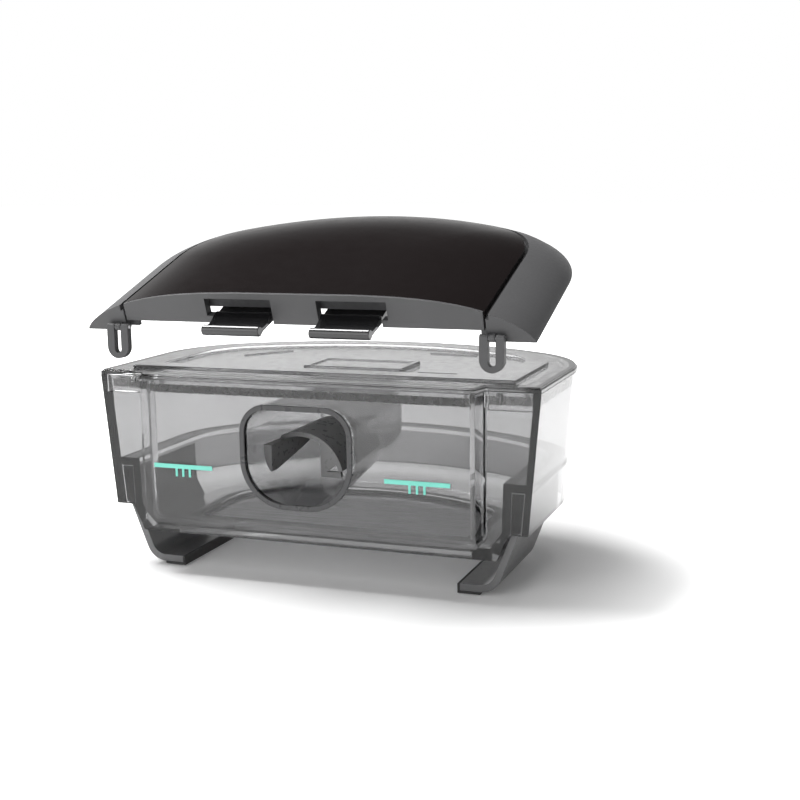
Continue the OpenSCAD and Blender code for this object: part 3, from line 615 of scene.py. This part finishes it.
class TUB_OT_tongues(bpy.types.Operator):
    """Makes the two latch tongues with a finger hollow and a round lip"""

    bl_idname = "tub.tongues"
    bl_label = "Latch Tongues"

    def execute(self, context):
        s, t = context.scene.tub_cover, context.scene.tub_tongue
        lip_y = -t.reach + t.lip
        top, low = t.pivot_height + t.thickness / 2, t.pivot_height - t.thickness / 2
        ridge_y, barrel = 0.0005, 0.002
        turns = [math.pi * i / 16 for i in range(17)]
        profile = [(t.pivot_depth + barrel * math.sin(a), t.pivot_height - barrel * math.cos(a)) for a in turns]
        profile += [(ridge_y + 0.0016, top), (ridge_y + 0.0009, top + t.ridge)]
        for i in range(16, -1, -1):
            u = i / 16
            z = t.pivot_height + t.thickness / 2 + t.ridge * u - t.hollow * math.sin(math.pi * u)
            y = lip_y + (ridge_y - lip_y) * u
            if y > lip_y + t.lip * 0.8:
                profile.append((y, z))
        turns = [math.radians(45 + 230 * i / 22) for i in range(23)]
        profile += [(lip_y + t.lip * math.cos(a), t.pivot_height + t.lip * math.sin(a)) for a in turns]
        profile += [(lip_y + t.lip * 1.1, low), (t.pivot_depth - barrel, low)]
        for side, name in ((-1, "left"), (1, "right")):
            xs = sorted((side * t.inner, side * t.outer))
            tongue = loft(f"{name}_tongue", [[(x, y, z) for y, z in profile] for x in xs])
            soften(put_on_cover(tongue, s), 0.0003)
            dress(tongue, finish("tongue"), f"{name}_latch", "latch_black", f"{name}_latch_tongue")
            repaint(f"{name}_latch_pin", finish("pin"))
        return {"FINISHED"}


class TUB_OT_loops(bpy.types.Operator):
    """Makes the snap loops that hang from the cover's front corners"""

    bl_idname = "tub.loops"
    bl_label = "Snap Loops"

    def execute(self, context):
        for name in ("left", "right"):
            loop = soften(welded_copy(f"{name}_snap_loop", f"{name}_loop"), 0.00055, 4)
            dress(loop, finish("rim"), "loops", "satin_grey", f"{name}_snap_loop")
            repaint(f"{name}_loop_pin", finish("pin"))
        return {"FINISHED"}


class TUB_OT_tub(bpy.types.Operator):
    """Makes the clear tub with its level marks, heater plate and that plate's seal"""

    bl_idname = "tub.tub"
    bl_label = "Clear Tub"

    def execute(self, context):
        tub = soften(welded_copy("tub_base", "clear_tub"), 0.0003)
        dress(tub, finish("clear"), "tub", "clear_smoke", "tub_base")
        for name in ("left", "right"):
            mark = soften(welded_copy(f"{name}_level_mark", f"{name}_mark"), 0.00008)
            dress(mark, finish("mark"), "tub", "mark_teal", f"{name}_level_mark")
        repaint("heater_plate", finish("plate"))
        repaint("plate_seal", finish("seal"))
        return {"FINISHED"}


class TUB_OT_air_way(bpy.types.Operator):
    """Makes the port's ring, the tunnel behind it and the flow divider"""

    bl_idname = "tub.air_way"
    bl_label = "Air Way"

    def execute(self, context):
        s = context.scene.tub_tunnel
        ring = soften(welded_copy("port_ring", "ring_of_port"), 0.0002)
        dress(ring, finish("ring"), "tub", "ring_grey", "port_ring")
        front, end, over = -s.bay, s.reach - s.bay, 0.0005
        bend = end - s.nose
        outside = [self.port(s, front, s.wall), self.slice(s, bend, 0, s.wall), self.slice(s, end, s.nose_in, s.wall)]
        inside = [self.port(s, front - over, 0), self.port(s, front, 0)]
        inside += [self.slice(s, bend, 0, 0), self.slice(s, end - s.wall, s.nose_in, 0)]
        tunnel = loft("tunnel", outside)
        carve(tunnel, loft("inside_tunnel", inside))
        x0, y0 = s.middle - s.outlet_width / 2, FLANGE_Y + bend - s.outlet_length - 0.003
        x1, y1 = x0 + s.outlet_width, y0 + s.outlet_length
        carve(tunnel, block("outlet", (x0, y0, s.top - 0.002), (x1, y1, s.top + 0.006)))
        dress(soften(tidy_mesh(tunnel, 1e-6, 0.1), 0.0003), finish("tunnel"), "tub", "dark_smoke", "air_tunnel")
        divider = soften(welded_copy("flow_divider", "divider"), 0.0002)
        dress(divider, finish("divider"), "tub", "divider_grey", "flow_divider")
        return {"FINISHED"}

    def rounded(self, y, corners):
        """A rounded outline across the tunnel: each corner's middle, radius and first angle."""
        points = []
        for x, z, radius, start in corners:
            for i in range(17):
                a = math.radians(start + 90 * i / 16)
                points.append((x + radius * math.cos(a), FLANGE_Y + y, z + radius * math.sin(a)))
        return points

    def port(self, s, y, grow):
        """The port's outline, grown all round."""
        half, top, low = s.width / 2, s.top - s.top_corner, s.bottom + s.low_corner
        return self.rounded(y, [
            (s.middle + half - s.top_corner, top, s.top_corner + grow, 0),
            (s.middle - half + s.top_corner, top, s.top_corner + grow, 90),
            (s.middle - half + s.low_corner, low, s.low_corner + grow, 180),
            (s.middle + half - s.low_corner, low, s.low_corner + grow, 270),
        ])

    def slice(self, s, y, inset, grow):
        """The tunnel's outline behind its taper, moved in and grown all round."""
        half, top, low = s.width / 2 - s.taper, s.top - s.end_top, s.bottom + s.rise + s.end_low
        upper, lower = s.end_top - inset + grow, s.end_low - inset + grow
        return self.rounded(y, [
            (s.middle + half - s.end_top, top, upper, 0),
            (s.middle - half + s.end_top, top, upper, 90),
            (s.middle - half + s.end_low, low, lower, 180),
            (s.middle + half - s.end_low, low, lower, 270),
        ])


class TUB_OT_lid(bpy.types.Operator):
    """Makes the clear lid with its seal"""

    bl_idname = "tub.lid"
    bl_label = "Clear Lid"

    def execute(self, context):
        lid = soften(welded_copy("tank_lid", "clear_lid"), 0.0005, 3)
        dress(lid, finish("lid"), "lid", "clear_smoke", "tank_lid")
        repaint("lid_seal", finish("soft"))
        return {"FINISHED"}


class TUB_OT_feet(bpy.types.Operator):
    """Makes the grey rails and the rubber shoes below them"""

    bl_idname = "tub.feet"
    bl_label = "Rails and Shoes"

    def execute(self, context):
        for name in ("left", "right"):
            rail = soften(welded_copy(f"{name}_rail", f"{name}_grey_rail"), 0.0003, 3)
            dress(rail, finish("rail"), "tub", "rail_grey", f"{name}_rail")
            shoe = soften(welded_copy(f"{name}_foot_shoe", f"{name}_shoe"), 0.0002)
            dress(shoe, finish("rubber"), "tub", "shoe_rubber", f"{name}_foot_shoe")
        return {"FINISHED"}


class TUB_OT_stage(bpy.types.Operator):
    """Makes the floor, the light and the camera"""

    bl_idname = "tub.stage"
    bl_label = "Stage"

    def execute(self, context):
        s = context.scene.tub_stage
        bpy.ops.object.select_all(action="DESELECT")
        bpy.ops.mesh.primitive_plane_add(size=FLOOR_SIZE, location=(0, 0, FLOOR_Z))
        floor = context.object
        floor.name = "floor"
        material, nodes, links, shader, _ = blank_material("Pale floor")
        mottle(nodes, links, grain(nodes, links, 3.0), shader.inputs["Base Color"], s.floor, 0.004)
        shader.inputs["Roughness"].default_value = 0.9
        shader.inputs["Specular IOR Level"].default_value = 0.0
        place = nodes.new("ShaderNodeTexCoord")
        far = nodes.new("ShaderNodeVectorMath")
        far.operation = "LENGTH"
        links.new(place.outputs["Object"], far.inputs[0])
        lift = nodes.new("ShaderNodeMapRange")
        lift.interpolation_type = "SMOOTHSTEP"
        lift.inputs["From Min"].default_value = s.white_near
        lift.inputs["From Max"].default_value = s.white_far
        lift.inputs["To Min"].default_value = FLOOR_GLOW
        lift.inputs["To Max"].default_value = 1.0
        links.new(far.outputs["Value"], lift.inputs["Value"])
        seen = self.seen_by_eye(nodes, links, s.mirrored, s.through)
        glow = combine(nodes, links, "MULTIPLY", seen, lift.outputs["Result"])
        shader.inputs["Emission Color"].default_value = (1, 1, 1, 1)
        links.new(glow, shader.inputs["Emission Strength"])
        floor.data.materials.append(material)

        world = bpy.data.worlds.new("Pale room")
        context.scene.world = world
        world.use_nodes = True
        nodes, links = world.node_tree.nodes, world.node_tree.links
        sky = nodes["Background"]
        sky.inputs["Color"].default_value = (1, 1, 1, 1)
        place = nodes.new("ShaderNodeTexCoord")
        split = nodes.new("ShaderNodeSeparateXYZ")
        links.new(place.outputs["Generated"], split.inputs[0])
        walls = nodes.new("ShaderNodeMapRange")
        walls.interpolation_type = "SMOOTHSTEP"
        walls.inputs["From Min"].default_value = WALL_TOP
        walls.inputs["From Max"].default_value = CEILING_FROM
        walls.inputs["To Min"].default_value = 1.0
        walls.inputs["To Max"].default_value = s.ceiling
        links.new(split.outputs["Z"], walls.inputs["Value"])
        straight = self.seen_by_eye(nodes, links, 0.0, 1.0)
        in_gloss = self.seen_by_eye(nodes, links, s.mirrored, 0.0)
        in_gloss = combine(nodes, links, "MULTIPLY", in_gloss, walls.outputs["Result"])
        level = combine(nodes, links, "MULTIPLY", walls.outputs["Result"], s.room)
        for share in (straight, in_gloss):
            level = combine(nodes, links, "MAXIMUM", level, share)
        links.new(level, sky.inputs["Strength"])

        for lamp in LAMPS:
            self.lamp(*lamp)

        data = bpy.data.cameras.new("camera")
        camera = bpy.data.objects.new("camera", data)
        context.collection.objects.link(camera)
        data.lens, data.sensor_width = s.lens, SENSOR_MM
        data.clip_start, data.clip_end = 0.01, 50.0
        turn, down, roll = s.camera_turn
        right = Vector((math.cos(turn), math.sin(turn), 0))
        ahead = Vector((-math.sin(turn) * math.cos(down), math.cos(turn) * math.cos(down), -math.sin(down)))
        up = right.cross(ahead)
        across = right * math.cos(roll) + up * math.sin(roll)
        above = up * math.cos(roll) - right * math.sin(roll)
        camera.matrix_world = Matrix.Translation(s.camera_place) @ Matrix((across, above, -ahead)).transposed().to_4x4()
        context.scene.camera = camera
        context.scene.view_settings.view_transform = "Standard"
        context.scene.cycles.max_bounces = context.scene.cycles.transmission_bounces = LIGHT_BOUNCES
        return {"FINISHED"}

    def seen_by_eye(self, nodes, links, mirrored, through):
        """1 for the camera's rays, and a share of that in a gloss or through a clear piece."""
        path = nodes.new("ShaderNodeLightPath")
        value = path.outputs["Is Camera Ray"]
        for kind, share in (("Is Glossy Ray", mirrored), ("Is Transmission Ray", through)):
            part = combine(nodes, links, "MULTIPLY", path.outputs[kind], share)
            value = combine(nodes, links, "MAXIMUM", value, part)
        return value

    def lamp(self, name, place, size, power):
        """A soft square lamp that faces the tub."""
        data = bpy.data.lights.new(name, "AREA")
        data.size, data.energy = size, power
        lamp = bpy.data.objects.new(name, data)
        bpy.context.collection.objects.link(lamp)
        aim = LAMP_AIM - Vector(place)
        lamp.matrix_world = Matrix.Translation(place) @ aim.to_track_quat("-Z", "Y").to_matrix().to_4x4()


OPERATORS = (
    TUB_OT_tub,
    TUB_OT_air_way,
    TUB_OT_feet,
    TUB_OT_lid,
    TUB_OT_loops,
    TUB_OT_cover_shell,
    TUB_OT_tongues,
    TUB_OT_stage,
)


class TUB_PT_panel(bpy.types.Panel):
    """Lists the settings and the pieces of the water tub"""

    bl_idname = "TUB_PT_panel"
    bl_label = "Water Tub"
    bl_space_type = "VIEW_3D"
    bl_region_type = "UI"
    bl_category = "Water Tub"

    def draw(self, context):
        for operator in OPERATORS:
            self.layout.operator(operator.bl_idname)
        for name, group in SETTINGS.items():
            box = self.layout.box()
            box.label(text=group.__doc__.strip())
            for setting in group.__annotations__:
                box.prop(getattr(context.scene, name), setting)


CLASSES = (*SETTINGS.values(), *OPERATORS, TUB_PT_panel)


def register():
    for item in CLASSES:
        bpy.utils.register_class(item)
    for name, group in SETTINGS.items():
        setattr(bpy.types.Scene, name, PointerProperty(type=group))


def unregister():
    for name in SETTINGS:
        delattr(bpy.types.Scene, name)
    for item in reversed(CLASSES):
        bpy.utils.unregister_class(item)


def main():
    register()
    bpy.ops.tub.tub()
    bpy.ops.tub.air_way()
    bpy.ops.tub.feet()
    bpy.ops.tub.lid()
    bpy.ops.tub.loops()
    bpy.ops.tub.cover_shell()
    bpy.ops.tub.tongues()
    bpy.ops.tub.stage()


if __name__ == "__main__":
    main()
